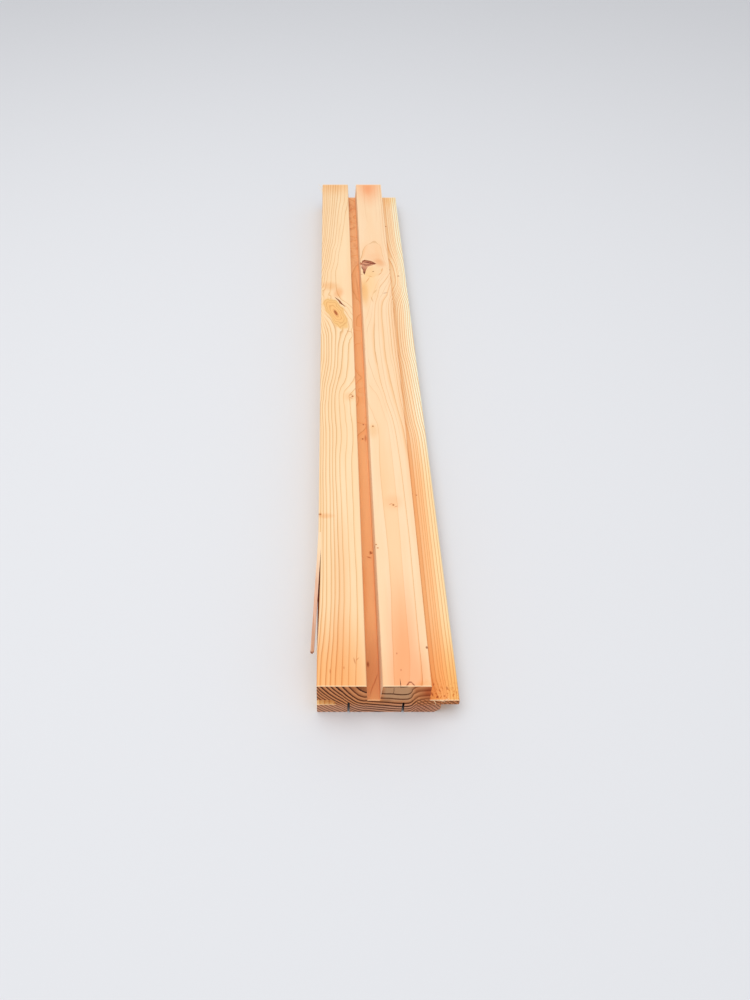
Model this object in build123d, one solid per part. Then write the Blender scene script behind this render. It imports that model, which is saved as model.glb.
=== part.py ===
from build123d import *
import math
import os

# A solid softwood cladding board, milled from one plank.
# Its face is two flat battens with a shadow groove between them. A tongue runs along the right
# side and a slot along the left, so that boards interlock with the same shadow gap at each joint.
# The back has two relief kerfs. A sliver of the left arris has torn loose near the front end, and
# the wood has broken out of the right batten beside a knot.
#
# Frame, in millimetres: X across the board towards the tongue, Y along it from the front end to
# the back end, Z up from the back face, which lies on the floor. The origin is the middle of
# the overall width and length, on the back face.

# Overall
board_length = 1092.0
board_thickness = 47.0

# Face: left batten, shadow groove, right batten, and the ledge that ends in the tongue
left_batten_width = 48.0
groove_face_width = 15.5
right_batten_width = 47.0
ledge_width = 29.5
groove_depth = 25.5
groove_side_slope = 3.4      # degrees that each side of the shadow groove leans outwards
arris_radius = 1.2           # eased long edges of the two battens

# Tongue, on the right side: its top is one plane with the floor of the shadow groove
tongue_length = 17.5
tongue_thickness = 7.0
tongue_tip_radius = 1.0
back_bevel = 6.0             # bevel of the back face's right edge, under the tongue

# Slot, on the left side: it takes the next board's tongue with these clearances
slot_clearance_over = 0.7
slot_clearance_under = 1.3
slot_depth_top = 16.0
slot_depth_bottom = 19.0

# Relief kerfs in the back
kerf_count = 2
kerf_width = 2.3
kerf_depth = 17.5
first_kerf_from_left = 31.3
kerf_spacing = 53.9

# Torn sliver on the left arris
sliver_root_from_front = 200.0
sliver_tip_from_front = 40.0
sliver_width = 3.4
sliver_tip_width = 2.8
sliver_height = 4.0
sliver_swing = 6.4           # how far the tip stands out from the board's left side
sliver_bend_place = 0.4      # share of the sliver's length, from its root, at which it bends out
sliver_bend_out = 0.42       # share of its swing that it has reached there
sliver_overlap = 12.0        # length of the root that is still one with the board
sliver_lift = 0.4            # gap between the sliver and the floor of its scar
scar_depth = 3.0             # how far the tear reaches in from the left side, at its root

# Broken-out hollow in the right batten, with its outline measured from the batten's left arris
# and from the hollow's front point
hollow_from_front = 761.0
hollow_depth = 2.5
hollow_outline = [
    (6.0, 0.0),
    (3.7, 7.0),
    (3.9, 14.5),
    (1.5, 22.0),
    (1.8, 30.5),
    (-1.2, 32.5),
    (-0.5, 41.0),
    (2.8, 37.5),
    (3.2, 44.5),
    (7.8, 48.0),
    (19.2, 43.5),
    (26.9, 34.7),
    (19.0, 29.5),
    (12.6, 26.0),
    (9.5, 17.5),
    (7.8, 9.5),
]

# Places that follow from those sizes
board_width = left_batten_width + groove_face_width + right_batten_width + ledge_width
left_side = -board_width / 2
right_side = board_width / 2
front_end = -board_length / 2
ledge_top = board_thickness - groove_depth
groove_left = left_side + left_batten_width
groove_right = groove_left + groove_face_width
right_batten_side = groove_right + right_batten_width
tongue_underside = ledge_top - tongue_thickness
back_right_side = right_side - tongue_length
slot_top = ledge_top + slot_clearance_over
slot_bottom = tongue_underside - slot_clearance_under
groove_side_run = groove_depth * math.tan(math.radians(groove_side_slope))
scar_floor = board_thickness - sliver_height


def flat(points):
    """A closed outline of straight lines as a face in the board's cross-section."""
    return Plane.XZ * make_face(Polyline(points, close=True))


def board_section():
    """The milled section: outline, shadow groove, slot and relief kerfs."""
    outline = flat([
        (left_side, 0),
        (back_right_side - back_bevel, 0),
        (back_right_side, back_bevel),
        (back_right_side, tongue_underside),
        (right_side, tongue_underside),
        (right_side, ledge_top),
        (right_batten_side, ledge_top),
        (right_batten_side, board_thickness),
        (left_side, board_thickness),
    ])
    groove = flat([
        (groove_left, board_thickness),
        (groove_left + groove_side_run, ledge_top),
        (groove_right - groove_side_run, ledge_top),
        (groove_right, board_thickness),
    ])
    slot = flat([
        (left_side, slot_bottom),
        (left_side + slot_depth_bottom, slot_bottom),
        (left_side + slot_depth_top, slot_top),
        (left_side, slot_top),
    ])
    section = outline - groove - slot
    for kerf in range(kerf_count):
        middle = left_side + first_kerf_from_left + kerf * kerf_spacing
        section -= flat([
            (middle - kerf_width / 2, 0),
            (middle + kerf_width / 2, 0),
            (middle + kerf_width / 2, kerf_depth),
            (middle - kerf_width / 2, kerf_depth),
        ])
    return section


def milled_board():
    """The section run to length, with its long arrises eased."""
    board = extrude(board_section(), board_length / 2, both=True)
    face_arrises = board.edges().filter_by(Axis.Y).group_by(Axis.Z)[-1]
    board = fillet(face_arrises, arris_radius)
    tongue_arrises = board.edges().filter_by(Axis.Y).group_by(Axis.X)[-1]
    return fillet(tongue_arrises, tongue_tip_radius)


def torn_sliver():
    """The loose strip: its root is one with the board, and it swings out towards its tip."""
    root = front_end + sliver_root_from_front
    tip = front_end + sliver_tip_from_front
    bend = root + (tip - root) * sliver_bend_place
    bend_side = left_side - sliver_swing * sliver_bend_out
    tip_side = left_side - sliver_swing
    outer = Spline(
        (left_side, root + sliver_overlap),
        (bend_side, bend),
        (tip_side, tip),
        tangents=[(0, -1), (tip_side - bend_side, tip - bend)],
    )
    inner = Spline(
        (tip_side + sliver_tip_width, tip),
        (bend_side + sliver_width, bend),
        (left_side + sliver_width, root + sliver_overlap),
        tangents=[(bend_side - tip_side, bend - tip), (0, 1)],
    )
    tip_edge = Line(outer @ 1, inner @ 0)
    root_edge = Line(inner @ 1, outer @ 0)
    plan = make_face([outer, tip_edge, inner, root_edge])
    return extrude(Pos(0, 0, scar_floor + sliver_lift) * plan, sliver_height - sliver_lift)


def scar():
    """The hollow that the sliver left in the arris: deepest at the root, it runs out at the tip."""
    root = front_end + sliver_root_from_front
    tip = front_end + sliver_tip_from_front
    torn = TangentArc((left_side + scar_depth, root), (left_side, tip), tangent=(0, -1))
    outside = Polyline(
        (left_side, tip),
        (left_side - scar_depth, tip),
        (left_side - scar_depth, root),
        (left_side + scar_depth, root),
    )
    plan = make_face([torn, outside])
    return extrude(Pos(0, 0, scar_floor) * plan, board_thickness)


def broken_hollow():
    """The wood that is missing beside the right batten's knot, down to the hollow's floor."""
    front = front_end + hollow_from_front
    points = [(groove_right + across, front + along) for across, along in hollow_outline]
    plan = make_face(Polyline(points, close=True))
    return extrude(Pos(0, 0, board_thickness - hollow_depth) * plan, board_thickness)


cladding_board = milled_board() - scar() - broken_hollow() + torn_sliver()

os.makedirs("parts", exist_ok=True)
export_step(cladding_board, "parts/cladding_board.step")
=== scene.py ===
import bmesh
import bpy
import math
from mathutils import Matrix, Vector, noise


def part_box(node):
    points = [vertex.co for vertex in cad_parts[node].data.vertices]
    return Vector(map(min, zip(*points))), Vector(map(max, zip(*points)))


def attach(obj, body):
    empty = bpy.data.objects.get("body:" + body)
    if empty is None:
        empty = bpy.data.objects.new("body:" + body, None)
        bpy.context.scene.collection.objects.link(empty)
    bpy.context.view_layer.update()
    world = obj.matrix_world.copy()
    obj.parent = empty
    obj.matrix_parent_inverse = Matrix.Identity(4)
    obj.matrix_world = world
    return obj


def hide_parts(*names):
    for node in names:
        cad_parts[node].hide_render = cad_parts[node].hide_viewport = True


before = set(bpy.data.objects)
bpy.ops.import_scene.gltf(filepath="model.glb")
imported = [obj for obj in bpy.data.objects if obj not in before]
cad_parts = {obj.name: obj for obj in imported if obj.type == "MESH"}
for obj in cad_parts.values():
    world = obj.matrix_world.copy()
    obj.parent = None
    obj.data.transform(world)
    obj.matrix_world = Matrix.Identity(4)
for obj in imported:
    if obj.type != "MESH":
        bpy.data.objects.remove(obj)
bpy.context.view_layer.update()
node_low, node_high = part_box("cladding_board")

# Camera: it stands a little right of the board's left edge, at the front end, and looks down
# along the board at 45 degrees.
camera_place = (-0.05825, -0.9649, 0.7261)
camera_pitch = math.radians(45.41)
camera_lens = 29.27
camera_shift = 0.0462

camera = bpy.data.objects.new("camera", bpy.data.cameras.new("camera"))
bpy.context.scene.collection.objects.link(camera)
camera.location = camera_place
camera.rotation_euler = (math.pi / 2 - camera_pitch, 0, 0)
camera.data.lens = camera_lens
camera.data.shift_x = camera_shift
bpy.context.scene.camera = camera

# The board: one plank of softwood, sawn to length and planed to its section, with a shadow groove
# between two battens, a tongue on the right, a slot on the left and two saw kerfs in the back.
left_batten_width = 0.048
groove_face_width = 0.0155
right_batten_width = 0.047
groove_depth = 0.0255
groove_side_slope = math.radians(3.4)
arris_radius = 0.0012
tongue_length = 0.0175
tongue_thickness = 0.007
tongue_tip_radius = 0.001
back_bevel = 0.006
slot_clearance_over = 0.0007
slot_clearance_under = 0.0013
slot_depth_top = 0.016
slot_depth_bottom = 0.019
kerf_width = 0.0023
kerf_depth = 0.0175
kerfs_from_left = (0.0313, 0.0852)
arris_steps = 5
straight = 0.99
tiny = 1e-5
noise_seed = 1

right_side = node_high.x
left_side = -right_side
front_end = node_low.y
back_end = node_high.y
top = node_high.z
ledge_top = top - groove_depth
groove_left = left_side + left_batten_width
groove_right = groove_left + groove_face_width
right_batten_side = groove_right + right_batten_width
tongue_underside = ledge_top - tongue_thickness
back_right_side = right_side - tongue_length
groove_side_run = groove_depth * math.tan(groove_side_slope)

# Its knots, the last one a branch in the front end: where each meets the face (across and along, in
# millimetres from the left side and the front end), half width and half length there, turn in
# degrees, how far it leans across and along for each millimetre of depth, its heart's share of it,
# how yellow and how dark it is, and how far it swells the rings round it.
knots = [
    (22.2, 650, 14, 47, 16, (-2, 0.7), 0.2, 0.95, 0.9, 0.5),
    (84, 771, 15, 20, -20, (0.05, 0.02), 0.08, 0.3, 0.5, 4.4),
    (43.5, 446, 3.4, 4, 0, (-1.3, 0.45), 0.45, 0.2, 0.9, 1),
    (43.8, 610.6, 1.8, 4.6, -10, (-1.3, 0.45), 0.6, 0.2, 0.45, 0.6),
    (68.5, 384, 3.2, 3.8, 0, (-0.48, 0.17), 0.4, 0.2, 0.85, 0.4),
    (87, 242.5, 2.5, 2.8, 0, (0.1, 0.03), 0.45, 0.3, 0.85, 0.1),
    (64.5, 181, 2, 2.4, 0, (-0.2, 0.43), 0.5, 0.2, 0.85, 0.2),
    (2, 227.5, 2, 2.2, 0, (-2.6, 0.9), 0.6, 0.3, 0.95, 0.4),
    (103, -9, 11, 17, 0, (0.36, 0.13), 0.1, 0.3, 0.3, 0.8),
]

# How each knot shows. Its masks go from none at the first number to full at the second, in shares
# of its size, or of their own height for its ripples. The larger a bell's number, the sooner the
# parting or the swelling of the grain round the knot ends.
knot_edge = (1.1, 0.82)
knot_middle = (1.0, 0.15)
knot_heart_edge = (1.15, 0.6)
knot_ripple = (0.3, 1.0)
knot_ripples_per_mm = 2.3
knot_grain = (9, 22, 9)
knot_unevenness = 0.16
parting_bell = 0.775
swelling_bell = 0.346

# Its growth rings. The pith lies outside the plank, above the face. Tables along the board hold
# (along, millimetres) pairs. ring_radii tells where each year's wood ends, and the late rings that
# follow are all as wide. The wood is warmer up to inner_years. The rings rise above true circles
# where they lie nearly flat, and waver a little.
pith_across = 83.5
pith_above = [(0, 33.2), (100, 33), (360, 33), (700, 33.2), (800, 31.5), (823, 31.2),
              (845, 32), (858, 33.2), (868, 34.4), (900, 34.6), (930, 34.2), (950, 33.6),
              (1000, 33.3), (1092, 33.3)]
right_of_pith = [(0, 0), (7.5, 8.6), (18.5, 35.4), (26.5, 43.2), (31.1, 47.3), (37.9, 58),
                 (44.3, 68.1), (50.4, 74.6), (60, 86), (70, 98)]
late_rings = 16
late_ring_width = 3.1
ring_radii = [0, 10, 22, 34.3, 55, 63.2, 70.2, 75.2, 79, 82.4, 86.6, 89.8, 92.3]
ring_radii += [ring_radii[-1] + late_ring_width * (n + 1) for n in range(late_rings)]
inner_years = 2.5
flat_lift = 6.4
flat_lift_outside = 3.2
flat_radii = (36, 46)
flat_radii_outside = (55, 80)
flat_angle = (0.64, 0.2)
wander = 0.8
wander_grain = (45, 260, 60)
waver = 0.5
waver_grain = (7, 50, 7)

# How far the grain has drifted across along the board, at these distances from the left side.
right_batten_drift = [(0, 0), (150, 0.5), (260, -1), (360, -5), (445, -13), (500, -15), (570, -17),
                      (640, -17), (700, -11), (760, -1), (800, 6), (1092, 6)]
middle_ledge_drift = [(360, 0), (430, -4), (490, -7), (550, -10), (610, -13.5), (670, -12)]
grain_drift = [
    (3, [(0, -0.5), (10, -0.4), (70, 3), (130, 4.7), (190, 4.6), (250, 4.3), (310, 3.6), (370, 3.6),
         (400, 3), (420, 2.3), (440, 3.8), (460, 4.6), (480, 5.8), (500, 7.6), (520, 9), (540, 10),
         (580, 9.9), (600, 8.4), (640, 7), (690, -6), (740, -9), (780, -5), (800, -2.5), (840, 1),
         (860, 2.5), (880, 4.3), (920, 6), (960, 8), (1000, 9.5), (1092, 10)]),
    (12, [(0, 0.5), (10, 0.8), (70, 4.3), (130, 5.6), (190, 5.3), (250, 4.8), (310, 3.9),
          (370, 4.2), (400, 2.8), (420, 2.5), (440, 3.3), (460, 4.2), (480, 6.8), (500, 9.2),
          (520, 10.8), (540, 11.6), (580, 11.8), (600, 11.3), (690, -9), (740, -13), (760, -13),
          (780, -9), (800, -5.3), (820, -2.5), (840, -0.5), (860, 1.2), (880, 2.9), (920, 5),
          (960, 7.5), (1000, 9.5), (1092, 10.5)]),
    (25, [(0, 2), (10, 2.4), (70, 4.8), (130, 6.6), (190, 5.5), (250, 4.4), (310, 2.8), (370, 5.2),
          (400, 4.3), (440, 3.3), (460, 5.2), (480, 8.1), (500, 10.4), (520, 12), (560, 13.2),
          (600, 14.7), (690, -12), (760, -17), (780, -15), (800, -10.5), (840, -6.3), (860, -1.8),
          (880, 0), (920, 3), (960, 6), (1000, 8.8), (1040, 11), (1092, 12.5)]),
    (33, [(0, -0.5), (70, 3.1), (130, 5), (190, 3.9), (250, 2.6), (310, 1.6), (370, 5), (400, 2.9),
          (420, 2.4), (440, 0.5), (460, 4), (480, 11.5), (500, 13.6), (540, 15), (600, 16),
          (690, -10), (760, -16), (800, -16), (840, -12.5), (880, -7.5), (920, -1), (940, 3),
          (960, 4.7), (1000, 8.5), (1040, 11.5), (1092, 13)]),
    (41, [(0, -4.5), (10, -4), (70, 0.8), (130, 1.7), (190, 0.3), (250, -0.2), (310, -0.8),
          (370, 2.5), (400, 0.8), (420, -0.8), (440, 0), (460, 6), (480, 13), (500, 16),
          (540, 17.8), (580, 17), (600, 17), (690, -8), (760, -13), (800, -15), (840, -14),
          (880, -10.5), (920, -6), (960, -0.8), (980, 1.8), (1000, 5), (1040, 11), (1092, 11.8)]),
    (48, [(0, -5), (70, 0), (360, 1), (430, 1), (480, 16), (540, 20), (600, 20), (690, -6),
          (800, -12), (1000, 4), (1092, 10)]),
    (55, [(0, 1), (360, 1), (445, -10), (500, -20), (570, -24), (640, -14), (720, -4), (800, -6),
          (1000, 0), (1092, 0)]),
    (67, [(0, 1), (70, 1.5), (130, 3), (190, 2.3), (250, 0.5), (310, 0), (370, 3), (400, -2),
          (445, -16), (500, -28), (570, -31), (640, -22), (700, -8), (800, 0), (1092, 1)]),
    (80, [(0, 1), (70, 1.5), (130, 3), (190, 2.5), (250, 1), (310, 0), (370, 0.5), (400, -5),
          (445, -13), (500, -21), (570, -23), (640, -21), (700, -12), (800, 2), (1092, 2)]),
    (92, [(0, 0), (150, 0.5), (260, 0), (360, -3), (445, -15), (500, -19.5), (570, -21.5),
          (640, -21.5), (700, -15), (760, -2), (800, 6), (1092, 8)]),
    (103, right_batten_drift),
    (110.3, right_batten_drift),
    (111.3, [(0, 0), *middle_ledge_drift, (760, 3), (810, 10), (850, 9), (900, 4), (980, 0),
             (1092, 0)]),
    (126, [(0, -2), (50, 0), *middle_ledge_drift, (760, 3), (810, 9), (850, 8), (900, 3), (980, 0),
           (1092, 0)]),
    (140, [(0, -2), (50, 0), *middle_ledge_drift, (760, 2), (810, 5), (850, 5), (900, 2), (980, 0),
           (1092, 0)]),
]
groove_waves = [(0, 0), (12, 0), (30, -3), (60, 0), (160, 1), (192, -1), (220, 0), (380, 0),
                (417, 4), (430, -3), (474, 3), (490, -4), (520, 4), (560, -1), (600, 1), (630, 6),
                (655, -4), (700, -2), (860, -1), (885, 4), (905, -4), (930, 3), (950, -3),
                (980, 4), (1010, -4), (1060, 4), (1092, -2)]
groove_middle = 55.75
groove_share_of_drift = 0.3
groove_rings_across = (9.5, 7.5)
groove_rings_up = (36, 24)

# Where the colours and lines of its planed faces change, in millimetres. A mask goes from none at
# the first number to full at the second. Where there are four, it ends again between the last two.
right_half = (56, 64)
ledge = (109, 111)
ledge_rim = (126, 134)
far_ledge = (280, 470)
inner_wood = (420, 240)
front_lines = (140, 20)
half_year_lines = (320, 400)
arched_lines = (838, 850, 872, 884)
line_width = (1.3, 0.3)
late_width = (2.4, 0.7)
frayed_front = (30, 4)
# The pale line along the top edges of both sawn ends is a painted highlight.
front_highlight_zone = (1.4, 0.6)
back_highlight_zone = (1088.5, 1090.5)
groove_half = (8.6, 7.6)
# The groove's walls are painted paler as painted light; its floor is painted darker and warmer,
# partly as painted shade and bounce light and partly as the wood's own colour.
wall_painted_light_zone = (23, 28, 44, 46.5)
floor_painted_shade_zone = (30, 22)
floor_shade_fading = (600, 760)
mottled_groove = (660, 960)
# Inside the saw kerfs the colour is painted dark, as painted shade.
kerf_half = (kerf_width * 500 + 0.25, kerf_width * 500 + 0.1)
kerf_top = (kerf_depth * 1000 + 0.4, kerf_depth * 1000 + 0.1)

# The same for its sawn ends: the grey part and the low pink part, the branch and the wood under it,
# the calm corner under the slot, and the rings' dark part and fresh part, also in shares of a year.
grey_across = (62, 68, 88, 96)
grey_up = (16, 26)
pink_up = (18, 8)
branch_across = (89, 97)
branch_up = (19, 26)
under_branch_across = (94, 101)
under_branch_up = (26, 21)
corner_across = (33, 25)
corner_up = (18, 12)
knot_end_up = (12, 26)
dark_ring_width = (2.8, 1.4)
dark_ring_share = (0.4, 0.75)
fresh_ring_share = (0.95, 0.1)

# Its stains and small marks on the planed faces, and some patches of painted shade: the middle
# and the half size of each (across, along and up), its turn in degrees, its strength, and the
# colour that it gives to white. Beside the big knot a patch in the same form, without a colour, is
# bare of growth lines.
bare_patch = ((2, 654, 47), (13, 66, 14), 0, 0.85)
face_stains_and_shade = [
    ((10, -10, 47), (62, 120, 24), 0, 0.97, (252, 218, 182)),
    ((86, 0, 47), (26, 180, 16), 0, 0.97, (254, 216, 198)),
    ((104, 0, 47), (14, 60, 10), 0, 0.6, (252, 220, 192)),
    ((66, -10, 47), (20, 70, 16), 0, 0.35, (252, 228, 200)),
    ((24, 120, 47), (14, 150, 10), 0, 0.9, (252, 239, 228)),
    ((126, -10, 21.5), (36, 130, 10), 0, 0.95, (252, 222, 182)),
    # Painted shade: the ledge darker and warmer along the foot of the right batten.
    ((112, 120, 21.5), (9, 600, 10), 0, 0.7, (255, 234, 208)),
    ((112, 800, 21.5), (9, 700, 10), 0, 0.85, (255, 232, 206)),
    ((112, 450, 21.5), (10, 300, 10), 0, 0.5, (255, 234, 210)),
    ((114, 1092, 21.5), (18, 110, 8), 0, 0.7, (255, 242, 226)),
    ((137, 0, 21.5), (11, 90, 10), 0, 0.8, (254, 238, 212)),
    ((22, 1110, 47), (60, 80, 20), 0, 0.9, (250, 226, 200)),
    ((86, 1110, 47), (34, 130, 20), 0, 0.9, (254, 208, 182)),
    ((85, 1070, 47), (13, 32, 10), 0, 0.35, (250, 212, 192)),
    ((128, 1105, 21.5), (26, 70, 10), 0, 0.8, (252, 234, 202)),
    ((84, 838, 47), (30, 50, 10), 0, 0.45, (254, 232, 214)),
    ((95, 799, 47), (13, 20, 6), 20, 0.6, (240, 200, 166)),
    ((88, 814, 47), (24, 24, 6), 0, 0.35, (252, 224, 202)),
    ((75, 740, 47), (22, 75, 10), 0, 0.6, (255, 244, 214)),
    ((68, 706, 47), (9, 54, 6), 0, 0.75, (248, 226, 188)),
    ((14, 726, 47), (22, 18, 6), -20, 0.6, (246, 216, 184)),
    ((27, 706, 47), (11, 22, 6), -10, 0.7, (248, 208, 176)),
    ((42, 740, 47), (12, 70, 8), 0, 0.3, (254, 240, 232)),
    ((34, -10, 47), (30, 150, 24), 0, 0.6, (252, 232, 208)),
    ((87, 247, 47), (15, 18, 5), 0, 0.4, (252, 222, 202)),
    ((8, 225, 47), (14, 6, 5), 0, 0.5, (244, 206, 170)),
    ((68, 375, 47), (10, 20, 6), 0, 0.4, (240, 220, 186)),
    ((40, 446, 47), (11, 15, 6), 0, 0.5, (248, 220, 190)),
    ((108, 480, 47), (4, 480, 14), 0, 0.35, (254, 232, 212)),
    ((56, 10, 21.5), (16, 100, 24), 0, 0.95, (232, 205, 190)),
    ((56, 150, 21.5), (16, 340, 24), 0, 0.6, (252, 240, 228)),
    ((56, 1090, 21.5), (14, 150, 20), 0, 0.8, (252, 240, 228)),
    ((118, 10, 21.5), (14, 22, 6), 0, 0.2, (240, 204, 170)),
    ((113.5, 7, 21.5), (1.5, 3.6, 2), 20, 0.8, (186, 116, 70)),
    ((118.5, 4, 21.5), (1.8, 2.2, 2), -30, 0.8, (186, 116, 70)),
    ((121.5, 11, 21.5), (1.2, 2.6, 2), 30, 0.7, (196, 126, 78)),
    ((125.5, 5, 21.5), (1.6, 1.8, 2), -40, 0.7, (196, 126, 78)),
    ((116, 18, 21.5), (1.2, 2.6, 2), -20, 0.6, (196, 126, 78)),
    ((129, 14, 21.5), (1.6, 2.8, 2), 20, 0.6, (180, 110, 70)),
    ((37, 29, 47), (1, 5.5, 2), 12, 0.6, (200, 140, 90)),
    ((40, 31, 47), (0.9, 3.2, 2), -40, 0.5, (205, 150, 100)),
    ((26.5, 21, 47), (1, 2.4, 2), 0, 0.5, (200, 130, 80)),
    ((13, 17, 47), (1, 4, 2), 0, 0.5, (210, 140, 90)),
    ((79, 37.5, 47), (1, 1.8, 2), 0, 0.6, (190, 115, 75)),
    ((82, 18.5, 47), (1, 1.6, 2), 0, 0.6, (190, 115, 75)),
    ((87.5, 2.5, 47), (1.1, 4, 2), -35, 0.85, (140, 70, 40)),
    ((90, 4.8, 47), (2.8, 1.2, 2), 0, 0.85, (140, 70, 40)),
    ((92.8, 2.5, 47), (1, 4, 2), 40, 0.85, (140, 70, 40)),
    ((100.2, 705.8, 47), (5.5, 1.1, 2), 15, 0.85, (170, 100, 70)),
    ((83.5, 771, 47), (2.6, 1.8, 2), 30, 0.8, (190, 150, 90)),
    ((64.4, 762.5, 47), (3.4, 1.2, 2), -35, 0.7, (196, 136, 92)),
    ((98.2, 776, 47), (1.3, 10, 2), -10, 0.7, (226, 172, 118)),
    ((94.6, 764, 47), (1.3, 8, 2), -32, 0.7, (226, 172, 118)),
    ((78.4, 756, 47), (4.5, 1.6, 2), -30, 0.6, (226, 172, 118)),
    ((74, 745, 47), (1.5, 13, 2), -22, 0.6, (226, 172, 118)),
    ((84.3, 710, 47), (1.2, 9, 2), -25, 0.6, (214, 182, 132)),
    ((78.6, 688, 47), (1.2, 12, 2), 10, 0.6, (214, 182, 132)),
    ((66, 176, 47), (2, 1.8, 2), 0, 0.7, (200, 140, 90)),
    ((41.5, 449.5, 47), (3.4, 1.1, 2), 25, 0.6, (190, 120, 75)),
    ((41.5, 442.5, 47), (3.4, 1.1, 2), -25, 0.6, (190, 120, 75)),
    ((42, 599.5, 47), (7, 1.2, 2), -26, 0.5, (205, 140, 90)),
    ((84, 244, 47), (3.4, 1.1, 2), 30, 0.5, (210, 130, 90)),
    ((90, 240, 47), (3.4, 1.1, 2), 30, 0.5, (210, 130, 90)),
    ((60, 190, 21.5), (3.2, 1.8, 2), 35, 0.8, (176, 104, 70)),
    ((57.5, 184, 21.5), (4, 1.5, 2), -25, 0.7, (186, 116, 80)),
    ((58, 417.5, 21.5), (1.6, 2.2, 2), 0, 0.8, (176, 104, 70)),
    ((51.5, 41.5, 21.5), (2, 5, 3), 0, 0.75, (170, 100, 65)),
    ((58, 22, 21.5), (1, 14, 3), -20, 0.6, (206, 150, 120)),
    ((54, 12, 21.5), (0.9, 10, 3), -16, 0.5, (206, 150, 120)),
    ((109.3, 44.5, 47), (1.8, 2.4, 3), 0, 0.9, (150, 88, 56)),
    ((115.5, 975, 21.5), (2, 2.8, 2), 0, 0.8, (180, 110, 70)),
    ((114, 821, 21.5), (1.8, 2.6, 2), 0, 0.8, (180, 110, 70)),
    ((128, 801, 21.5), (3, 2.2, 2), 0, 0.8, (175, 105, 65)),
    ((60, 390, 21.5), (2, 10, 3), 0, 0.6, (200, 130, 95)),
    ((113.5, 286, 21.5), (1.4, 2, 2), 0, 0.9, (170, 95, 60)),
    ((119, 284, 21.5), (1.4, 1.7, 2), 0, 0.7, (185, 110, 70)),
    ((62.7, 117, 40), (2, 3.2, 4), 0, 0.8, (120, 60, 40)),
    ((62.8, 60, 34), (3, 300, 20), 0, 0.7, (226, 206, 196)),
    # Painted shade on the groove's right wall: a dark line along its top edge beside a tear, and
    # the wall darker over its far stretch.
    ((62.9, 724, 43), (1.6, 14, 3), 0, 0.8, (150, 90, 55)),
    ((62.8, 765, 38), (2.4, 80, 14), 0, 0.4, (196, 140, 104)),
    ((51, 762, 21.5), (2.6, 70, 4), 2, 0.3, (232, 222, 190)),
    ((58.6, 768, 21.5), (2, 64, 4), 3, 0.4, (222, 188, 156)),
    ((50, 1066, 21.5), (3, 26, 4), 0, 0.6, (206, 160, 130)),
    ((6, 0, 14), (34, 90, 9), 0, 1, (255, 242, 210)),
]

# The stains on its sawn front end, in the same form.
end_patches = [
    ((70, 0, 46.1), (11, 30, 1.3), 0, 0.9, (120, 72, 48)),
    ((109, 0, 37), (9, 30, 15), 0, 0.7, (232, 168, 128)),
    ((40, 0, 45), (12, 30, 8), 0, 0.5, (196, 174, 150)),
    ((104, 0, 8), (18, 30, 12), 0, 0.5, (236, 204, 190)),
    ((68, 0, 22), (8, 30, 5), 0, 0.5, (210, 190, 170)),
    ((57, 0, 8), (34, 30, 13), 0, 0.6, (236, 232, 232)),
]

# Where its broken-out hollow and its scar are darker, in the same form. In the hollow this is
# partly its torn end grain and partly painted shade; on the scar it is painted shade.
torn_stains_and_shade = [
    ((79, 803, 45), (15, 2.8, 6), -22, 0.95, (160, 100, 78)),
    ((74, 796.5, 45), (13, 2, 6), -4, 0.95, (150, 92, 70)),
    ((85, 792.5, 45), (10, 2.8, 6), 26, 0.95, (150, 92, 70)),
    ((76.5, 784, 45), (3, 9, 6), -24, 0.95, (140, 84, 64)),
    ((66, 784, 45), (2.8, 9, 6), 10, 0.9, (150, 92, 72)),
    ((69, 767, 45), (3.2, 12, 6), -8, 0.9, (150, 92, 72)),
    # Painted shade: the scar is darker where it lies in the sliver's shadow.
    ((1, 115, 45), (6, 120, 8), 0, 0.95, (150, 84, 60)),
    ((69, 777, 45), (8, 16, 6), 0, 0.7, (206, 176, 160)),
]
torn_up = (46.8, 45.6)


def as_linear(red, green, blue):
    """A colour given as it shows, from 0 to 255, in the linear values that a shader takes."""
    return (*((c / 255 / 12.92) if c < 10.3 else ((c / 255 + 0.055) / 1.055) ** 2.4
              for c in (red, green, blue)), 1.0)


def new_material(name):
    """A new material and its shader."""
    made = bpy.data.materials.new(name)
    made.use_nodes = True
    return made, next(n for n in made.node_tree.nodes if n.type == "BSDF_PRINCIPLED")


def is_socket(value):
    """Whether a value is a socket, and not a number or a colour."""
    return isinstance(value, bpy.types.NodeSocket)


def give(node, values):
    """Gives a node its inputs. They take values, or are linked where a socket is given."""
    for key, value in values.items():
        if is_socket(value):
            node.id_data.links.new(value, node.inputs[key])
        else:
            node.inputs[key].default_value = value


def put(kind, values, **options):
    """Adds a shader node with its inputs to the tree of the sockets that it is given."""
    tree = next(value.id_data for value in values.values() if is_socket(value))
    made = tree.nodes.new("ShaderNode" + kind)
    for option, value in options.items():
        setattr(made, option, value)
    give(made, values)
    return made


def calc(operation, *values):
    """One step of arithmetic with sockets and numbers."""
    return put("Math", dict(enumerate(values)), operation=operation).outputs[0]


def times(first, *others):
    """The product of sockets and numbers."""
    for other in others:
        first = calc("MULTIPLY", first, other)
    return first


def distance(value, middle):
    """How far a value lies from a middle, on either side."""
    return calc("ABSOLUTE", calc("SUBTRACT", value, middle))


def vector(operation, first, second):
    """One step of arithmetic with vectors."""
    return put("VectorMath", {0: first, 1: second}, operation=operation).outputs[0]


def axes(place):
    """The three parts of a vector: across, along and up."""
    return tuple(put("SeparateXYZ", {0: place}).outputs)


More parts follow.
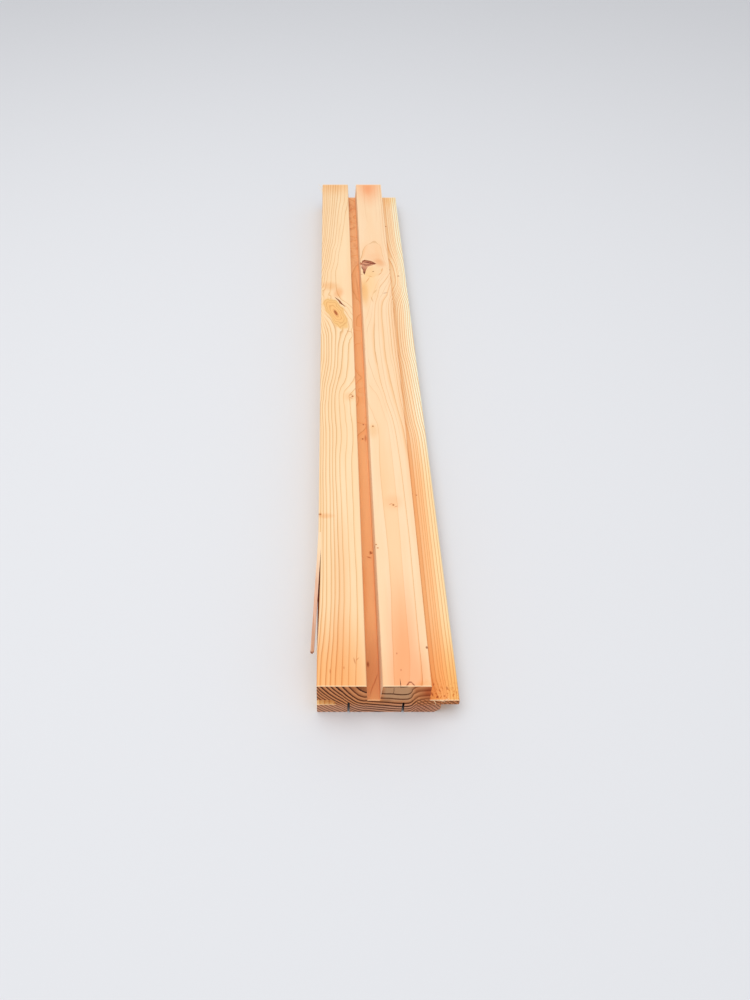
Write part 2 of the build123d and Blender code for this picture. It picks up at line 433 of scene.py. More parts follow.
def blend(share, first, second, mode="MIX"):
    """Mixes two colours by a share. Each is a socket, or a colour given as it shows."""
    first, second = (c if is_socket(c) else as_linear(*c) for c in (first, second))
    mixed = put("Mix", {0: share, 6: first, 7: second}, data_type="RGBA", blend_type=mode)
    return mixed.outputs[2]


def tint(share, colour, tone):
    """Darkens a colour by a share, as a stain or painted shade. The tone is what it gives to white.
    """
    return blend(share, colour, tone, mode="MULTIPLY")


def ramp(value, start, end, low=0.0, high=1.0, kind="LINEAR"):
    """Goes from low at start to high at end, and stays there outside."""
    values = {0: value, 1: start, 2: end, 3: low, 4: high}
    return put("MapRange", values, interpolation_type=kind).outputs[0]


def fade(value, start, end):
    """A smooth mask that goes from 0 at start to 1 at end."""
    return ramp(value, start, end, kind="SMOOTHSTEP")


def between(value, start, full, full_until, end):
    """A smooth mask that is 1 from full to full_until, and 0 before start and after end."""
    return times(fade(value, start, full), fade(value, end, full_until))


def bell(value):
    """The bell curve of a value: 1 at 0, and near 0 from 2 outwards."""
    return calc("EXPONENT", times(calc("POWER", value, 2.0), -1.0))


def curve(value, points, handles="AUTO_CLAMPED"):
    """A value read off a drawn curve, given as (place, height) pairs."""
    first, last = points[0][0], points[-1][0]
    low = min(height for _, height in points)
    high = max(height for _, height in points)
    drawn = put("FloatCurve", {1: ramp(value, first, last)})
    line = drawn.mapping.curves[0]
    for number, (place, height) in enumerate(points):
        spot = ((place - first) / (last - first), (height - low) / (high - low))
        if number == 0:
            line.points[0].location = spot
        elif number == len(points) - 1:
            line.points[-1].location = spot
        else:
            line.points.new(*spot)
    for point in line.points:
        point.handle_type = handles
    drawn.mapping.update()
    return calc("MULTIPLY_ADD", drawn.outputs[0], high - low, low)


def grainy(place, stretch, detail=2.0):
    """Noise from 0 to 1 with its grains stretched by so many millimetres along each axis."""
    squeezed = vector("MULTIPLY", place, [1 / s for s in stretch])
    values = {"Vector": squeezed, "Scale": 1.0, "Detail": detail}
    return put("TexNoise", values).outputs[0]


def bumps(relief, strength, depth):
    """The normals of a relief: how strongly it shows, and how deep it is in metres."""
    return put("Bump", {"Strength": strength, "Distance": depth, "Height": relief}).outputs[0]


def new_group(name, takes, gives):
    """A node group with vector and number sockets: its tree, and the sockets inside it."""
    tree = bpy.data.node_groups.new(name, "ShaderNodeTree")
    for direction, titles in (("INPUT", takes), ("OUTPUT", gives)):
        for title in titles:
            kind = "Vector" if title in ("Place", "Centre", "Lean", "Half size") else "Float"
            tree.interface.new_socket(title, in_out=direction, socket_type="NodeSocket" + kind)
    inside = tree.nodes.new("NodeGroupInput").outputs
    outside = tree.nodes.new("NodeGroupOutput").inputs
    return tree, inside, outside


def send(outside, **sockets):
    """Links sockets to a group's outputs, whose names have capitals and spaces."""
    for title, socket in sockets.items():
        socket.id_data.links.new(socket, outside[title.replace("_", " ").capitalize()])


def turned_reach(offset, half_size, turn):
    """How far out an offset lies, in shares of the half size of an oval turned about Z."""
    turned = put("VectorRotate", {0: offset, 3: turn}, rotation_type="Z_AXIS").outputs[0]
    shares = vector("DIVIDE", turned, half_size)
    return put("VectorMath", {0: shares}, operation="LENGTH").outputs["Value"]


def make_knot_group():
    """A branch through the wood: the grain parts round it, and its own rings fill it."""
    tree, inside, outside = new_group(
        "knot",
        ("Place", "Centre", "Lean", "Half size", "Turn", "Heart size", "Swell", "Line count"),
        ("Place", "Wood", "Depth", "Lines", "Heart", "Swell"),
    )
    place = inside["Place"]
    away = vector("SUBTRACT", place, inside["Centre"])
    lean = put("VectorMath", {0: inside["Lean"], 3: axes(away)[2]}, operation="SCALE").outputs[0]
    beside = vector("ADD", away, lean)
    flat = vector("MULTIPLY", beside, (1, 1, 0))
    reach = turned_reach(flat, inside["Half size"], inside["Turn"])
    uneven = grainy(place, knot_grain, detail=1.0)
    uneven = ramp(uneven, 0.3, 0.7, -knot_unevenness, knot_unevenness)
    reach = calc("ADD", reach, times(uneven, calc("MINIMUM", reach, 1.0)))
    parted = times(axes(beside)[0], bell(times(reach, parting_bell)))
    moved = put("CombineXYZ", {0: parted}).outputs[0]
    wood = fade(reach, *knot_edge)
    ripple = calc("SINE", times(reach, inside["Line count"]))
    heart = calc("DIVIDE", reach, inside["Heart size"])
    send(
        outside,
        place=vector("SUBTRACT", place, moved),
        wood=wood,
        depth=fade(reach, *knot_middle),
        lines=times(wood, fade(ripple, *knot_ripple)),
        heart=fade(heart, *knot_heart_edge),
        swell=times(inside["Swell"], bell(times(reach, swelling_bell))),
    )
    return tree


def drift_at(across, along):
    """The grain's drift across: drawn along the board at several places, and blended between."""
    curves = [(place, curve(along, points)) for place, points in grain_drift]
    start, drift = curves[0]
    before = drift
    for place, here in curves[1:]:
        step = calc("SUBTRACT", here, before)
        drift = calc("MULTIPLY_ADD", ramp(across, start, place), step, drift)
        start, before = place, here
    return drift


def part_round_knots(place, knot_group):
    """The place as the grain parts round all knots, their swelling, and how they show."""
    swell = wood = depth = lines = heart = 0.0
    for across, along, half_width, half_length, turn, lean, heart_size, yellow, dark, rise in knots:
        values = {
            "Place": place,
            "Centre": (across, along, top * 1000),
            "Lean": (*lean, 0),
            "Half size": (half_width, half_length, 1),
            "Turn": math.radians(-turn),
            "Heart size": heart_size,
            "Swell": rise,
            "Line count": knot_ripples_per_mm * half_width,
        }
        knot = put("Group", values, node_tree=knot_group).outputs
        place = knot["Place"]
        swell = calc("ADD", swell, knot["Swell"])
        wood = calc("MAXIMUM", wood, times(knot["Wood"], yellow))
        depth = calc("MAXIMUM", depth, times(knot["Depth"], yellow))
        lines = calc("MAXIMUM", lines, times(knot["Lines"], yellow))
        heart = calc("MAXIMUM", heart, times(knot["Heart"], dark))
    shows = {"knot_wood": wood, "knot_depth": depth, "knot_lines": lines, "knot_heart": heart}
    return place, swell, shows


def make_ring_group(knot_group):
    """The growth rings through the whole plank, as they part round its knots."""
    tree, inside, outside = new_group(
        "growth_rings",
        ("Place",),
        ("Place", "To next", "Share", "Slope", "Tone", "Inner", "Knot wood", "Knot depth",
         "Knot lines", "Knot heart"),
    )
    place, swell, shows = part_round_knots(inside["Place"], knot_group)
    across, along, up = axes(place)
    in_groove = ramp(distance(across, groove_middle), *groove_rings_across)
    in_groove = times(ramp(up, *groove_rings_up), in_groove)
    drift = times(drift_at(across, along), ramp(in_groove, 0, 1, 1, groove_share_of_drift))
    side = calc("SUBTRACT", calc("SUBTRACT", across, drift), pith_across)
    right = curve(calc("MAXIMUM", side, 0.0), right_of_pith)
    side = calc("ADD", calc("MINIMUM", side, 0.0), right)
    deep = calc("SUBTRACT", calc("ADD", curve(along, pith_above), top * 1000), up)
    radius = calc("SQRT", calc("ADD", calc("POWER", side, 2.0), calc("POWER", deep, 2.0)))
    slope = calc("DIVIDE", calc("ABSOLUTE", side), radius)
    angle = calc("ARCTAN2", times(side, -1.0), deep)
    lift = ramp(radius, *flat_radii, 0, flat_lift)
    lift = calc("SUBTRACT", lift, ramp(radius, *flat_radii_outside, 0, flat_lift_outside))
    lift = times(lift, fade(angle, *flat_angle))
    waves = times(in_groove, curve(along, groove_waves))
    wandering = ramp(grainy(place, wander_grain, detail=1.0), 0.0, 1.0, -wander, wander)
    wavering = ramp(grainy(place, waver_grain), 0.0, 1.0, -waver, waver)
    unevenness = times(slope, calc("ADD", wandering, wavering))
    radius = calc("ADD", calc("SUBTRACT", radius, swell), lift)
    radius = calc("ADD", radius, calc("ADD", waves, unevenness))
    by_radius = [(ring_end, year) for year, ring_end in enumerate(ring_radii)]
    rings = enumerate(zip(ring_radii, ring_radii[1:]))
    widths = [(year, end - start) for year, (start, end) in rings]
    years = curve(radius, by_radius, "VECTOR")
    year = calc("FLOOR", years)
    share = calc("FRACT", years)
    send(
        outside,
        place=place,
        share=share,
        slope=slope,
        tone=put("TexWhiteNoise", {"W": year}, noise_dimensions="1D").outputs[0],
        inner=calc("LESS_THAN", year, inner_years),
        to_next=times(curve(year, widths, "VECTOR"), calc("SUBTRACT", 1.0, share)),
        **shows,
    )
    return tree


def make_patch_group():
    """A soft oval patch in the wood."""
    tree, inside, outside = new_group(
        "patch", ("Place", "Centre", "Half size", "Turn", "Strength"), ("Mask",)
    )
    away = vector("SUBTRACT", inside["Place"], inside["Centre"])
    reach = turned_reach(away, inside["Half size"], inside["Turn"])
    send(outside, mask=times(fade(reach, 1.0, 0.2), inside["Strength"]))
    return tree


ring_group = make_ring_group(make_knot_group())
patch_group = make_patch_group()


def start_wood(name):
    """A new material, its shader, and the place in the plank in millimetres."""
    made, shader = new_material(name)
    coordinates = made.node_tree.nodes.new("ShaderNodeTexCoord").outputs["Object"]
    place = put("Mapping", {
        "Vector": coordinates,
        "Location": (right_side * 1000, -front_end * 1000, 0),
        "Scale": (1000, 1000, 1000),
    }).outputs[0]
    return made, shader, place


def rings_at(place):
    """What the growth rings say about a place."""
    return put("Group", {"Place": place}, node_tree=ring_group).outputs


def patch(place, centre, half_size, turn, strength):
    """The mask of one soft patch."""
    values = {
        "Place": place,
        "Centre": centre,
        "Half size": half_size,
        "Turn": math.radians(-turn),
        "Strength": strength,
    }
    return put("Group", values, node_tree=patch_group).outputs[0]


def tint_with_patches(place, colour, patches):
    """Tints a colour with soft patches."""
    for *shape, tone in patches:
        colour = tint(patch(place, *shape), colour, tone)
    return colour


def section_wood(rings, parts, along):
    """The pale earlywood and the browner latewood of each part of the section."""
    on_right, on_ledge, on_rim = parts
    broad = fade(grainy(rings["Place"], (14, 160, 14)), 0.35, 0.65)
    far = fade(along, *far_ledge)
    early = blend(broad, (252, 220, 176), (251, 215, 168))
    early = blend(on_right, early, blend(broad, (252, 218, 177), (252, 214, 170)))
    early = blend(on_ledge, early, blend(far, (255, 204, 147), (255, 229, 188)))
    early = blend(on_rim, early, blend(far, (250, 221, 168), (247, 246, 218)))
    inner = times(rings["Inner"], calc("SUBTRACT", on_right, on_ledge), fade(along, *inner_wood))
    early = tint(inner, early, (254, 245, 234))
    late = blend(on_right, (250, 203, 148), (252, 202, 150))
    late = blend(on_ledge, late, blend(far, (250, 186, 122), (250, 206, 152)))
    late = blend(on_rim, late, (246, 216, 160))
    return early, late


def growth_lines(place, rings, parts):
    """The masks of the thin line that ends each year, and of the latewood before it."""
    on_right, on_ledge, _ = parts
    along = axes(place)[1]
    crossing = fade(rings["Slope"], 0.1, 0.5)
    on_face = calc("DIVIDE", rings["To next"], calc("MAXIMUM", rings["Slope"], 0.3))
    line = times(fade(on_face, *line_width), ramp(rings["Tone"], 0, 1, 0.65, 0.95))
    half_line = fade(distance(rings["Share"], 0.5), 0.06, 0.02)
    half_line = times(half_line, fade(along, *half_year_lines), 0.35)
    half_line = times(half_line, calc("SUBTRACT", on_right, on_ledge))
    arch = times(between(along, *arched_lines), on_right, 0.5)
    line = times(calc("MAXIMUM", line, half_line), calc("MAXIMUM", crossing, arch))
    line = times(line, calc("SUBTRACT", 1.0, patch(place, *bare_patch)))
    band = times(fade(rings["To next"], *late_width), crossing, 0.8)
    return line, band


def paint_groove_light_and_mottle(place, colour):
    """Painted light makes the groove's walls paler. Its floor is darker and warmer, partly painted
    shade and painted bounce light and partly the wood's own colour, and mottled at the far end.
    """
    across, along, up = axes(place)
    within = fade(distance(across, groove_middle), *groove_half)
    # Painted light: the walls are painted paler.
    painted_wall_light = times(between(up, *wall_painted_light_zone), within, 0.5)
    colour = blend(painted_wall_light, colour, (255, 234, 204))
    # Painted shade and painted bounce light darken and warm the floor, over the wood's own warmer
    # colour.
    floor_painted_shade = times(fade(up, *floor_painted_shade_zone), within, ramp(along, *floor_shade_fading, 0.85, 0.72))
    colour = tint(floor_painted_shade, colour, (255, 228, 202))
    mottle = fade(grainy(place, (9, 20, 9)), 0.48, 0.66)
    mottle = times(mottle, floor_painted_shade, fade(along, *mottled_groove))
    return tint(mottle, colour, (236, 220, 212))


def paint_kerf_shade(place, colour):
    """The saw kerfs are painted dark inside, as painted shade."""
    across, _, up = axes(place)
    for from_left in kerfs_from_left:
        # Painted shade: each kerf is painted dark inside.
        kerf_painted_shade = times(fade(distance(across, from_left * 1000), *kerf_half), fade(up, *kerf_top))
        colour = tint(kerf_painted_shade, colour, (70, 46, 32))
    return colour


def make_planed_wood():
    """The planed faces: pale earlywood, thin olive-brown latewood lines, knots and stains, and
    painted shade and light.
    """
    made, shader, place = start_wood("planed_softwood")
    rings = rings_at(place)
    across, along, _ = axes(place)
    parts = [fade(across, *edge) for edge in (right_half, ledge, ledge_rim)]
    on_ledge = parts[1]
    early, late = section_wood(rings, parts, along)
    line, band = growth_lines(place, rings, parts)
    line_colour = blend(rings["Tone"], (226, 176, 120), (218, 166, 110))
    line_colour = blend(fade(along, *front_lines), line_colour, (222, 156, 96))
    line_colour = blend(on_ledge, line_colour, (226, 160, 98))
    colour = blend(line, blend(band, early, late), line_colour)
    streaks = grainy(rings["Place"], (0.5, 45, 0.5), detail=3.0)
    fine = grainy(rings["Place"], (0.3, 8, 0.3))
    colour = blend(times(fade(streaks, 0.5, 0.8), 0.25), colour, (244, 192, 136))
    colour = blend(times(fade(fine, 0.55, 0.85), 0.12), colour, (236, 176, 120))
    knot = blend(rings["Knot depth"], (243, 194, 124), (253, 194, 122))
    knot = blend(times(rings["Knot lines"], 0.6), knot, (218, 150, 80))
    colour = blend(rings["Knot wood"], colour, knot)
    colour = blend(rings["Knot heart"], colour, (176, 88, 38))
    colour = tint_with_patches(place, colour, face_stains_and_shade)
    flecks = fade(grainy(place, (1.5, 2.6, 1.5), detail=1.0), 0.56, 0.66)
    flecks = times(flecks, on_ledge, fade(along, *frayed_front))
    colour = tint(flecks, colour, (232, 196, 158))
    # A painted highlight: a pale line along the top edges at both sawn ends.
    end_highlight = calc("MAXIMUM", fade(along, *front_highlight_zone), fade(along, *back_highlight_zone))
    colour = blend(times(end_highlight, 0.7), colour, (255, 226, 184))
    colour = paint_kerf_shade(place, paint_groove_light_and_mottle(place, colour))
    relief = calc("MULTIPLY_ADD", streaks, 0.6, times(line, 0.4))
    give(shader, {
        "Base Color": colour,
        "Roughness": ramp(band, 0.0, 0.8, 0.62, 0.52),
        "Specular IOR Level": 0.2,
        "Normal": bumps(relief, 0.5, 0.0001),
    })
    return made


def make_end_grain():
    """The sawn ends: darker, with strong dark rings, fine rays and the saw's marks."""
    made, shader, place = start_wood("sawn_end_grain")
    rings = rings_at(place)
    across, _, up = axes(place)
    fresh = fade(rings["Share"], *fresh_ring_share)
    early = blend(fresh, (170, 98, 54), (230, 152, 98))
    grey = times(between(across, *grey_across), fade(up, *grey_up))
    early = blend(grey, early, (206, 156, 114))
    early = blend(times(fade(up, *pink_up), 0.6), early, (230, 178, 150))
    late = blend(rings["Tone"], (92, 40, 14), (66, 26, 8))
    dark = fade(rings["To next"], *dark_ring_width)
    dark = calc("MINIMUM", dark, fade(rings["Share"], *dark_ring_share))
    dark = times(dark, ramp(rings["Tone"], 0, 1, 0.85, 1))
    branch = times(fade(across, *branch_across), fade(up, *branch_up))
    under_branch = times(fade(across, *under_branch_across), fade(up, *under_branch_up))
    corner = times(fade(across, *corner_across), fade(up, *corner_up), 0.3)
    calm = calc("MAXIMUM", calc("MAXIMUM", branch, under_branch), corner)
    dark = times(dark, ramp(calm, 0, 1, 1, 0.2))
    slanted = times(calc("ADD", across, up), 1.25)
    slanted = calc("ADD", slanted, ramp(grainy(place, (9, 20, 9)), 0, 1, -3, 3))
    slanted = times(fade(calc("SINE", slanted), -0.1, 0.9), under_branch, 0.75)
    colour = blend(calc("MAXIMUM", dark, slanted), early, late)
    pores = grainy(place, (0.35, 0.35, 0.35))
    saw = grainy(place, (0.7, 2, 5))
    colour = blend(times(fade(pores, 0.45, 0.8), 0.25), colour, (130, 80, 50))
    colour = blend(times(fade(saw, 0.5, 0.8), 0.15), colour, (232, 186, 144))
    knot = times(rings["Knot wood"], fade(up, *knot_end_up))
    colour = blend(knot, colour, (176, 88, 40))
    give(shader, {
        "Base Color": tint_with_patches(place, colour, end_patches),
        "Roughness": 0.85,
        "Specular IOR Level": 0.15,
        "Normal": bumps(calc("MULTIPLY_ADD", pores, 0.5, saw), 0.6, 0.0002),
    })
    return made


def make_torn_wood():
    """Wood that has split away: rough and streaked along the tear; its deep parts are darker,
    partly painted shade.
    """
    made, shader, place = start_wood("torn_softwood")
    long_streaks = grainy(rings_at(place)["Place"], (0.7, 14, 0.7), detail=3.0)
    cross_streaks = grainy(place, (12, 1.4, 0.8), detail=3.0)
    colour = blend(fade(long_streaks, 0.35, 0.65), (206, 136, 100), (232, 172, 136))
    colour = blend(fade(cross_streaks, 0.45, 0.7), colour, (180, 108, 74))
    colour = blend(fade(axes(place)[2], *torn_up), (214, 150, 106), colour)
    give(shader, {
        "Base Color": tint_with_patches(place, colour, torn_stains_and_shade),
        "Roughness": 0.9,
        "Normal": bumps(calc("ADD", long_streaks, cross_streaks), 0.8, 0.0004),
    })
    return made


planed_wood = make_planed_wood()
end_grain = make_end_grain()
torn_wood = make_torn_wood()


def prism(corners, step):
    """A closed solid whose flat outline is moved by one step."""
    mesh = bmesh.new()
    face = mesh.faces.new([mesh.verts.new(corner) for corner in corners])
    grown = bmesh.ops.extrude_face_region(mesh, geom=[face])
    moved = [part for part in grown["geom"] if isinstance(part, bmesh.types.BMVert)]
    bmesh.ops.translate(mesh, verts=moved, vec=step)
    bmesh.ops.recalc_face_normals(mesh, faces=mesh.faces)
    return mesh


def bar(left, right, start, end, low, high):
    """A straight bar along the board."""
    corners = [(left, start, low), (right, start, low), (right, start, high), (left, start, high)]
    return prism(corners, (0, end - start, 0))


def ease(mesh, radius, belongs):
    """Rounds the long edges whose points belong."""
    edges = [
        edge for edge in mesh.edges
        if all(belongs(v.co) for v in edge.verts)
        and abs((edge.verts[1].co - edge.verts[0].co).normalized().y) > straight
    ]
    bmesh.ops.bevel(mesh, geom=edges, offset=radius, segments=arris_steps, profile=0.5,
                    affect="EDGES", material=-1)


def slice_up(mesh, slices):
    """Cuts a mesh into slices, given as pairs of the axis that they cross and their spacing."""
    for axis, spacing in slices:
        places = [v.co[axis] for v in mesh.verts]
        count = int((max(places) - min(places)) / spacing)
        normal = Vector([axis == number for number in range(3)])
        for number in range(1, count + 1):
            bmesh.ops.bisect_plane(mesh, geom=[*mesh.verts, *mesh.edges, *mesh.faces],
                                   plane_co=normal * (min(places) + spacing * number),
                                   plane_no=normal)


def roughen(mesh, size, stretch, belongs):
    """Moves the points that belong by noise, its grains stretched along each axis."""
    for v in mesh.verts:
        if belongs(v.co):
            squeezed = Vector([c / s for c, s in zip(v.co, stretch)])
            v.co += Vector([c * s for c, s in zip(noise.noise_vector(squeezed), size)])


def place_piece(name, mesh, *materials):
    """Puts a finished bmesh into the scene as a piece of the object."""
    data = bpy.data.meshes.new(name)
    mesh.to_mesh(data)
    mesh.free()
    for material in materials:
        data.materials.append(material)
    piece = bpy.data.objects.new(name, data)
    bpy.context.scene.collection.objects.link(piece)
    return piece


def cut_away(piece, cutters):
    """Cuts shapes out of a piece for good, and takes the shapes out of the scene."""
    for cutter in cutters:
        cut = piece.modifiers.new(cutter.name, "BOOLEAN")
        cut.operation = "DIFFERENCE"
        cut.solver = "EXACT"
        cut.material_mode = "TRANSFER"
        cut.object = cutter
    seen = piece.evaluated_get(bpy.context.evaluated_depsgraph_get())
    piece.data = bpy.data.meshes.new_from_object(seen)
    piece.modifiers.clear()
    for cutter in cutters:
        bpy.data.objects.remove(cutter)


# The same seed in every run, so that what is roughened comes out the same.
noise.seed_set(noise_seed)

# The corners of its milled section, from the back's left corner round to the slot.
section = [(left_side, 0)]
for from_left in kerfs_from_left:
    kerf_left = left_side + from_left - kerf_width / 2
    kerf_right = left_side + from_left + kerf_width / 2
    section += [(kerf_left, 0), (kerf_left, kerf_depth), (kerf_right, kerf_depth), (kerf_right, 0)]
section += [
    (back_right_side - back_bevel, 0),
    (back_right_side, back_bevel),
    (back_right_side, tongue_underside),
    (right_side, tongue_underside),
    (right_side, ledge_top),
    (right_batten_side, ledge_top),
    (right_batten_side, top),
    (groove_right, top),
    (groove_right - groove_side_run, ledge_top),
    (groove_left + groove_side_run, ledge_top),
    (groove_left, top),
    (left_side, top),
    (left_side, ledge_top + slot_clearance_over),
    (left_side + slot_depth_top, ledge_top + slot_clearance_over),
    (left_side + slot_depth_bottom, tongue_underside - slot_clearance_under),
    (left_side, tongue_underside - slot_clearance_under),
]
board_mesh = prism([(x, front_end, z) for x, z in section], (0, back_end - front_end, 0))
ease(board_mesh, arris_radius, lambda co: co.z > top - tiny)
ease(board_mesh, tongue_tip_radius, lambda co: co.x > right_side - tiny)
for face in board_mesh.faces:
    face.material_index = 1 if abs(face.normal.y) > straight else 0
board = place_piece("board", board_mesh, planed_wood, end_grain)

# The hollow in the right batten, where wood has broken out beside a knot: ragged walls and a
# floor of torn fibres. Its outline is measured from the batten's left arris and its front point.
hollow_from_front = 0.761
hollow_depth = 0.0025
hollow_outline = [(6, 0), (3.7, 7), (3.9, 14.5), (1.5, 22), (1.8, 30.5), (-1.2, 32.5),
                  (-0.5, 41), (2.8, 37.5), (3.2, 44.5), (7.8, 48), (19.2, 43.5), (26.9, 34.7),
                  (19, 29.5), (12.6, 26), (9.5, 17.5), (7.8, 9.5)]
over_face = 0.004
hollow_slices = ((0, 0.0011), (1, 0.0011))
hollow_roughness = (0.0005, 0.0007, 0.0009)
hollow_grain = (0.005, 0.0022, 0.002)

hollow_floor = top - hollow_depth
hollow_mesh = prism(
    [(groove_right + x / 1000, front_end + hollow_from_front + y / 1000, hollow_floor)
     for x, y in hollow_outline],
    (0, 0, hollow_depth + over_face),
)
slice_up(hollow_mesh, hollow_slices)
roughen(hollow_mesh, hollow_roughness, hollow_grain, lambda co: co.z < top)
hollow = place_piece("hollow", hollow_mesh, torn_wood)

# The scar on the left arris, where a sliver has split off: it runs in from the tip of the sliver
# to its root, with a fibrous inner face.
sliver_root = front_end + 0.2
sliver_tip = front_end + 0.04
scar_depth = 0.003
scar_bluntness = 0.8
sliver_height = 0.004
scar_steps = 16
scar_slices = ((1, 0.0025), (2, 0.0006))
scar_roughness = (0.0004, 0.0, 0.0001)
scar_grain = (0.002, 0.02, 0.0008)

scar_floor = top - sliver_height
scar_edge = [
    (left_side + scar_depth * math.sin(math.pi / 2 * share) ** scar_bluntness,
     sliver_tip + (sliver_root - sliver_tip) * share, scar_floor)
    for share in [step / scar_steps for step in range(scar_steps + 1)]
]
scar_outside = left_side - over_face
scar_mesh = prism(
    [*scar_edge, (scar_outside, sliver_root, scar_floor), (scar_outside, sliver_tip, scar_floor)],
    (0, 0, sliver_height + over_face),
)
slice_up(scar_mesh, scar_slices)
roughen(
    scar_mesh, scar_roughness, scar_grain,
    lambda co: co.x > left_side + tiny and co.z < top,
)
scar = place_piece("scar", scar_mesh, torn_wood)

# The cracks: one along the big knot's edge, one in the face and one in the end grain at the front.
# The first two run through points (across, along), with their width and depth after them, and are
# widest in the middle. The check in the end stands at one place across, from top to bottom.
crack_paths = [
    ([(21, 693.5), (23.6, 689.8), (26.3, 686), (28.4, 682), (29.9, 677.5), (32.2, 673.6),
      (34.9, 670), (37.2, 665.5)], 2.9, 6),
    ([(80.9, -1), (80.6, 3), (80.3, 9.5)], 0.7, 3),
]
end_check = (74.5, 2.5, 14)
end_check_width = 0.45
end_check_depth = 3.0
crack_end_width = 0.12


def crack(name, path, width, depth):
    """A thin wedge that is open at the face, along a path in millimetres from the corner."""
    floor_up = top - depth / 1000
    points = [Vector((left_side + x / 1000, front_end + y / 1000, floor_up)) for x, y in path]
    left, right = [], []
    for number, point in enumerate(points):
        before = points[max(number - 1, 0)]
        after = points[min(number + 1, len(points) - 1)]
        outward = (after - before).normalized().cross(Vector((0, 0, 1)))
        share = number / (len(points) - 1)
        half = outward * width / 2000 * (crack_end_width + math.sin(math.pi * share))
        left.append(point - half)
        right.append(point + half)
    mesh = prism([*left, *reversed(right)], (0, 0, depth / 1000 + over_face))
    return place_piece(name, mesh, torn_wood)


cracks = [crack(f"crack_{number}", *one) for number, one in enumerate(crack_paths)]
check_across, check_top, check_bottom = end_check
check_mesh = bar(
    left_side + (check_across - end_check_width / 2) / 1000,
    left_side + (check_across + end_check_width / 2) / 1000,
    front_end - over_face,
    front_end + end_check_depth / 1000,
    top - check_bottom / 1000,
    top - check_top / 1000,
)
cracks.append(place_piece("end_check", check_mesh, torn_wood))

cut_away(board, [hollow, scar, *cracks])
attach(board, "root")
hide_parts("cladding_board")

# The torn sliver: a strip of the left arris that is loose from its tip to its root, and swings
# out from the board. Its root is still one with the wood.
sliver_width = 0.0037
sliver_tip_width = 0.0034
sliver_swing = 0.0064
sliver_overlap = 0.012
root_lean = 0.05
sliver_lift = 0.0004
sliver_sink = 0.0001
sliver_ease = 0.06
sliver_slices = ((1, 0.003), (0, 0.0007), (2, 0.0008))
sliver_near_tip = (95, 55)
sliver_near_root = (100, 190)
sliver_low_side = (46.2, 44.4)
sliver_roughness = (0.0002, 0.0005, 0.0002)
sliver_grain = (0.0016, 0.03, 0.0016)
tip_roughness = (0.0, 0.004, 0.0)
tip_grain = (0.0008, 1.0, 0.0012)


def make_sliver_wood():
    """The sliver's face: pale pink-brown and streaked, as pale as the board at its root."""
    made, shader, place = start_wood("sliver_wood")
    _, along, up = axes(place)
    streaks = grainy(place, (0.5, 30, 0.5), detail=3.0)
    colour = blend(fade(streaks, 0.35, 0.7), (238, 190, 162), (212, 152, 120))
    colour = tint(fade(along, *sliver_near_tip), colour, (234, 226, 214))
    colour = blend(fade(along, *sliver_near_root), colour, (252, 217, 174))
    colour = tint(times(fade(up, *sliver_low_side), 0.6), colour, (190, 118, 80))
    give(shader, {
        "Base Color": colour,
        "Roughness": 0.75,
        "Normal": bumps(streaks, 0.6, 0.0002),
    })
    return made


def bend_out(co):
    """Where a point of the straight sliver lies on the bent one, which dips in past its root."""
    share = max((sliver_root - co.y) / (sliver_root - sliver_tip), 0)
    out = sliver_swing * (1 + sliver_ease) * share ** 2 / (share + sliver_ease)
    out -= root_lean * max(co.y - sliver_root, 0)
    narrow = 1 + (sliver_tip_width / sliver_width - 1) * share
    return Vector((left_side - out + (co.x - left_side) * narrow, co.y, co.z))


sliver_mesh = bar(
    left_side, left_side + sliver_width,
    sliver_tip, sliver_root + sliver_overlap,
    scar_floor + sliver_lift, top - sliver_sink,
)
slice_up(sliver_mesh, sliver_slices)
roughen(sliver_mesh, tip_roughness, tip_grain, lambda co: co.y < sliver_tip + tiny)
roughen(
    sliver_mesh, sliver_roughness, sliver_grain,
    lambda co: co.y < sliver_root - sliver_overlap,
)
for v in sliver_mesh.verts:
    v.co = bend_out(v.co)
sliver = place_piece("torn_sliver", sliver_mesh, make_sliver_wood())
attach(sliver, "root")

# Loose fibres that the saw and the planer have torn up and left: whiskers at the far left corner,
# one beside the sliver, frayed ones on the ledge's front edge, and two at the far end of the
# groove's right arris. For each: where it grows from (across, along and up), its length and
# thickness, all in millimetres, then its heading, its rise and its curl to the left in degrees.
fibres = [
    ((0.2, 1049, 46.2), 31, 0.8, 4, 3, 26),
    ((0.2, 1066, 46.2), 27, 1.3, 6, 4, 22),
    ((0.2, 1061, 46.2), 18, 1.1, 4, 0, 12),
    ((0.3, 43, 45.6), 6, 0.6, 150, 10, 30),
    ((112, 0.6, 21.3), 5, 0.7, -110, 8, 40),
    ((114.5, 0.5, 21.3), 6, 0.8, -150, 12, -30),
    ((116.5, 0.5, 21.3), 4.5, 0.6, -120, 16, 50),
    ((119, 0.6, 21.3), 6, 0.7, -100, 6, -40),
    ((122.5, 0.5, 21.3), 4, 0.6, -140, 14, 30),
    ((125.5, 0.6, 21.3), 5, 0.6, -80, 8, 30),
    ((62.6, 1087, 44.5), 9, 0.7, -20, 12, 30),
    ((63.2, 1072, 45.4), 8, 0.6, 160, 10, -30),
]
fibre_sides = 5
fibre_taper = 0.25
fibre_slices = 8


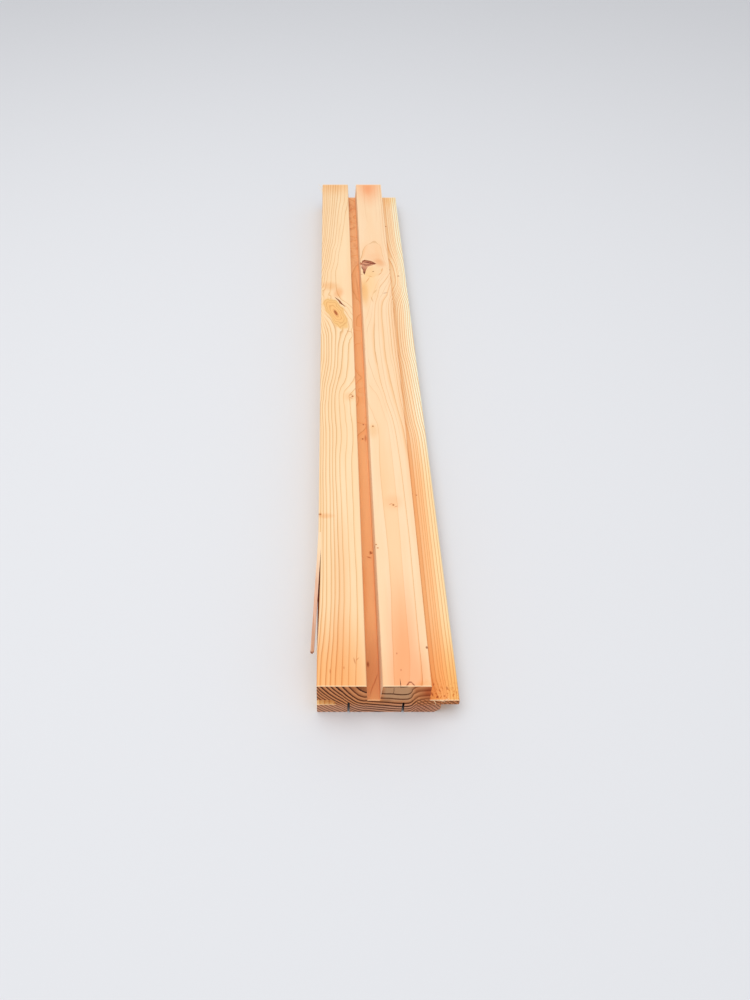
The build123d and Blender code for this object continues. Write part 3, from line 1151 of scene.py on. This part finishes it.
def fibre(base, length, thickness, heading, rise, curl):
    """One fibre: a thin tapered strand that curls sideways from where it grows."""
    across, along, up = base
    length /= 1000
    strand = bmesh.new()
    bmesh.ops.create_cone(
        strand, cap_ends=True, segments=fibre_sides, radius1=thickness / 2000,
        radius2=thickness / 2000 * fibre_taper, depth=length,
        matrix=Matrix.Translation((0, 0, length / 2)),
    )
    slice_up(strand, [(2, length / fibre_slices)])
    for v in strand.verts:
        turned = math.radians(curl) * v.co.z / length
        bow = length / math.radians(curl)
        v.co = Vector((v.co.x * math.cos(turned) - bow * (1 - math.cos(turned)), v.co.y,
                       v.co.x * math.sin(turned) + bow * math.sin(turned)))
    lying = Matrix.Rotation(math.radians(rise - 90), 4, "X")
    headed = Matrix.Rotation(math.radians(heading), 4, "Z")
    grown = Matrix.Translation((left_side + across / 1000, front_end + along / 1000, up / 1000))
    strand.transform(grown @ headed @ lying)
    return strand


fibre_wood, fibre_shader = new_material("fibre_wood")
give(fibre_shader, {"Base Color": as_linear(246, 222, 182), "Roughness": 0.7})

fibres_mesh = bmesh.new()
for one in fibres:
    strand = fibre(*one)
    strand_data = bpy.data.meshes.new("strand")
    strand.to_mesh(strand_data)
    strand.free()
    fibres_mesh.from_mesh(strand_data)
    bpy.data.meshes.remove(strand_data)
loose_fibres = place_piece("loose_fibres", fibres_mesh, fibre_wood)
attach(loose_fibres, "root")

# The floor and the light: a plain pale floor, an even sky and one large soft lamp overhead.
floor_size = 14.0
floor_drop = 0.0001
sky_strength = 0.66
lamp_strength = 34.0
lamp_size = 2.5
lamp_place = (-0.35, -0.3, 2.4)

floor_mesh = bmesh.new()
bmesh.ops.create_grid(floor_mesh, x_segments=1, y_segments=1, size=floor_size / 2)
bmesh.ops.translate(floor_mesh, verts=floor_mesh.verts, vec=(0, 0, -floor_drop))
floor_paint, floor_shader = new_material("floor")
give(floor_shader, {"Base Color": as_linear(226, 227, 229), "Roughness": 0.9})
floor = place_piece("floor", floor_mesh, floor_paint)

sky = bpy.data.worlds.new("sky")
bpy.context.scene.world = sky
sky.use_nodes = True
sky_light = next(n for n in sky.node_tree.nodes if n.type == "BACKGROUND")
sky_light.inputs["Color"].default_value = as_linear(250, 251, 255)
sky_light.inputs["Strength"].default_value = sky_strength

lamp = bpy.data.objects.new("lamp", bpy.data.lights.new("lamp", "AREA"))
bpy.context.scene.collection.objects.link(lamp)
lamp.data.energy = lamp_strength
lamp.data.size = lamp_size
lamp.location = lamp_place
lamp.rotation_euler = (-Vector(lamp_place)).to_track_quat("-Z", "Y").to_euler()

bpy.context.scene.view_settings.view_transform = "Standard"
